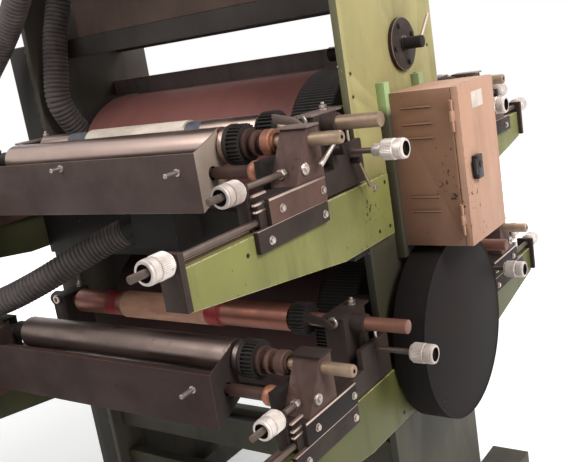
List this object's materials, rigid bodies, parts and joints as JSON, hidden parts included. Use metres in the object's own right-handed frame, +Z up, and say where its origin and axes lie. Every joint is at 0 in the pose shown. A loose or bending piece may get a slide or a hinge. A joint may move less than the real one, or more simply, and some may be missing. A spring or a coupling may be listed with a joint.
{
  "type": "stack flexographic printing press",
  "caption": "Stack flexographic press with two large impression drums between plate side frames and print decks front and back.",
  "frame": {"origin": "on the floor, under the base sill, midway between the side frames", "axes": "+X along the rollers towards the operator side, -Y towards the front decks, +Z up"},
  "size_m": [1.7502, 2.004, 2.12],
  "materials": {
    "frame_paint": "worn olive-green paint",
    "arm_paint": "chipped lime-green paint",
    "base_paint": "dirty dark olive paint",
    "olive_paint": "dark olive paint",
    "dark_steel": "ink-stained dark steel",
    "drum_coat": "reddish brown coat, worn by the web",
    "gear_steel": "oily dark gear steel",
    "roller_steel": "ground steel",
    "roller_rubber": "brown rubber with ink residue",
    "knob_metal": "knurled turned aluminium",
    "trough_sheet": "grey-brown sheet with ink stains",
    "cover_paint": "dull brown-black paint",
    "guard_paint": "dark dusty paint",
    "box_paint": "tan enamel",
    "black_plastic": "matte black",
    "duct_sheet": "brown painted sheet",
    "hose_plastic": "dark grey corrugated hose"
  },
  "bodies": {
    "root": {"side_frame_right": "frame_paint", "side_frame_left": "frame_paint", "base_rails": "base_paint", "base_sill": "base_paint", "cross_ties": "base_paint", "upper_beams": "olive_paint", "drum_rail": "dark_steel", "arms_upper": "arm_paint", "arms_lower": "arm_paint", "slideways_upper": "dark_steel", "slideways_lower": "dark_steel", "tip_plates": "dark_steel", "lead_screws": "knob_metal", "drum_cover": "cover_paint", "drive_guard": "guard_paint", "control_box": "box_paint", "box_strips": "frame_paint", "bearing_flange": "dark_steel", "dryer_hood": "duct_sheet", "air_header": "duct_sheet", "dryer_boxes": "duct_sheet", "hose_drop": "hose_plastic", "hose_loop": "hose_plastic"},
    "box_door": {"box_door": "box_paint", "door_latch": "black_plastic"},
    "throw_lever": {"throw_lever": "roller_steel"},
    "drum_upper": {"drum_upper": "drum_coat", "drum_gear_upper": "gear_steel"},
    "drum_lower": {"drum_lower": "drum_coat", "drum_gear_lower": "gear_steel"},
    "plate_carriage_front_upper": {"plate_carriage_front_upper": "dark_steel", "deck_knobs_front_upper": "knob_metal"},
    "plate_cylinder_front_upper": {"plate_cylinder_front_upper": "roller_steel"},
    "ink_carriage_front_upper": {"ink_carriage_front_upper": "dark_steel", "ink_trough_front_upper": "trough_sheet"},
    "anilox_front_upper": {"anilox_front_upper": "roller_steel"},
    "fountain_roller_front_upper": {"fountain_roller_front_upper": "roller_rubber"},
    "plate_carriage_front_lower": {"plate_carriage_front_lower": "dark_steel", "deck_knobs_front_lower": "knob_metal"},
    "plate_cylinder_front_lower": {"plate_cylinder_front_lower": "roller_steel"},
    "ink_carriage_front_lower": {"ink_carriage_front_lower": "dark_steel", "ink_trough_front_lower": "trough_sheet"},
    "anilox_front_lower": {"anilox_front_lower": "roller_steel"},
    "fountain_roller_front_lower": {"fountain_roller_front_lower": "roller_rubber"},
    "plate_carriage_back_upper": {"plate_carriage_back_upper": "dark_steel", "deck_knobs_back_upper": "knob_metal"},
    "plate_cylinder_back_upper": {"plate_cylinder_back_upper": "roller_steel"},
    "ink_carriage_back_upper": {"ink_carriage_back_upper": "dark_steel", "ink_trough_back_upper": "trough_sheet"},
    "anilox_back_upper": {"anilox_back_upper": "roller_steel"},
    "fountain_roller_back_upper": {"fountain_roller_back_upper": "roller_rubber"},
    "plate_carriage_back_lower": {"plate_carriage_back_lower": "dark_steel", "deck_knobs_back_lower": "knob_metal"},
    "plate_cylinder_back_lower": {"plate_cylinder_back_lower": "roller_steel"},
    "ink_carriage_back_lower": {"ink_carriage_back_lower": "dark_steel", "ink_trough_back_lower": "trough_sheet"},
    "anilox_back_lower": {"anilox_back_lower": "roller_steel"},
    "fountain_roller_back_lower": {"fountain_roller_back_lower": "roller_rubber"}
  },
  "joints": [
    {"name": "box_door", "type": "hinge", "parent": "root", "child": "box_door", "pos_m": [0.771, -0.106, 1.2345], "axis": [0, 0, -1], "range_deg": [0, 120]},
    {"name": "throw_lever", "type": "hinge", "parent": "root", "child": "throw_lever", "pos_m": [0.6, 0.046, 1.55], "axis": [1, 0, 0], "range_deg": [-60, 60]},
    {"name": "drum_upper_spin", "type": "hinge", "parent": "root", "child": "drum_upper", "pos_m": [0, 0, 1.273], "axis": [1, 0, 0], "continuous": true},
    {"name": "drum_lower_spin", "type": "hinge", "parent": "root", "child": "drum_lower", "pos_m": [0, 0, 0.773], "axis": [1, 0, 0], "continuous": true},
    {"name": "plate_slide_front_upper", "type": "slide", "parent": "root", "child": "plate_carriage_front_upper", "axis": [0, 1, 0], "range_m": [-0.15, 0.056]},
    {"name": "plate_spin_front_upper", "type": "hinge", "parent": "plate_carriage_front_upper", "child": "plate_cylinder_front_upper", "pos_m": [0, -0.34, 1.403], "axis": [1, 0, 0], "continuous": true},
    {"name": "ink_slide_front_upper", "type": "slide", "parent": "plate_carriage_front_upper", "child": "ink_carriage_front_upper", "axis": [0, 1, 0], "range_m": [-0.06, 0.054]},
    {"name": "anilox_spin_front_upper", "type": "hinge", "parent": "ink_carriage_front_upper", "child": "anilox_front_upper", "pos_m": [0, -0.49, 1.391], "axis": [1, 0, 0], "continuous": true},
    {"name": "fountain_spin_front_upper", "type": "hinge", "parent": "ink_carriage_front_upper", "child": "fountain_roller_front_upper", "pos_m": [0, -0.556, 1.339], "axis": [1, 0, 0], "continuous": true},
    {"name": "plate_slide_front_lower", "type": "slide", "parent": "root", "child": "plate_carriage_front_lower", "axis": [0, 1, 0], "range_m": [-0.15, 0.056]},
    {"name": "plate_spin_front_lower", "type": "hinge", "parent": "plate_carriage_front_lower", "child": "plate_cylinder_front_lower", "pos_m": [0, -0.34, 0.903], "axis": [1, 0, 0], "continuous": true},
    {"name": "ink_slide_front_lower", "type": "slide", "parent": "plate_carriage_front_lower", "child": "ink_carriage_front_lower", "axis": [0, 1, 0], "range_m": [-0.005, 0.139]},
    {"name": "anilox_spin_front_lower", "type": "hinge", "parent": "ink_carriage_front_lower", "child": "anilox_front_lower", "pos_m": [0, -0.575, 0.891], "axis": [1, 0, 0], "continuous": true},
    {"name": "fountain_spin_front_lower", "type": "hinge", "parent": "ink_carriage_front_lower", "child": "fountain_roller_front_lower", "pos_m": [0, -0.641, 0.839], "axis": [1, 0, 0], "continuous": true},
    {"name": "plate_slide_back_upper", "type": "slide", "parent": "root", "child": "plate_carriage_back_upper", "axis": [0, -1, 0], "range_m": [-0.11, 0.056]},
    {"name": "plate_spin_back_upper", "type": "hinge", "parent": "plate_carriage_back_upper", "child": "plate_cylinder_back_upper", "pos_m": [0, 0.34, 1.403], "axis": [1, 0, 0], "continuous": true},
    {"name": "ink_slide_back_upper", "type": "slide", "parent": "plate_carriage_back_upper", "child": "ink_carriage_back_upper", "axis": [0, -1, 0], "range_m": [-0.06, 0.054]},
    {"name": "anilox_spin_back_upper", "type": "hinge", "parent": "ink_carriage_back_upper", "child": "anilox_back_upper", "pos_m": [0, 0.49, 1.391], "axis": [1, 0, 0], "continuous": true},
    {"name": "fountain_spin_back_upper", "type": "hinge", "parent": "ink_carriage_back_upper", "child": "fountain_roller_back_upper", "pos_m": [0, 0.556, 1.339], "axis": [1, 0, 0], "continuous": true},
    {"name": "plate_slide_back_lower", "type": "slide", "parent": "root", "child": "plate_carriage_back_lower", "axis": [0, -1, 0], "range_m": [-0.11, 0.056]},
    {"name": "plate_spin_back_lower", "type": "hinge", "parent": "plate_carriage_back_lower", "child": "plate_cylinder_back_lower", "pos_m": [0, 0.34, 0.903], "axis": [1, 0, 0], "continuous": true},
    {"name": "ink_slide_back_lower", "type": "slide", "parent": "plate_carriage_back_lower", "child": "ink_carriage_back_lower", "axis": [0, -1, 0], "range_m": [-0.005, 0.139]},
    {"name": "anilox_spin_back_lower", "type": "hinge", "parent": "ink_carriage_back_lower", "child": "anilox_back_lower", "pos_m": [0, 0.575, 0.891], "axis": [1, 0, 0], "continuous": true},
    {"name": "fountain_spin_back_lower", "type": "hinge", "parent": "ink_carriage_back_lower", "child": "fountain_roller_back_lower", "pos_m": [0, 0.641, 0.839], "axis": [1, 0, 0], "continuous": true}
  ]
}
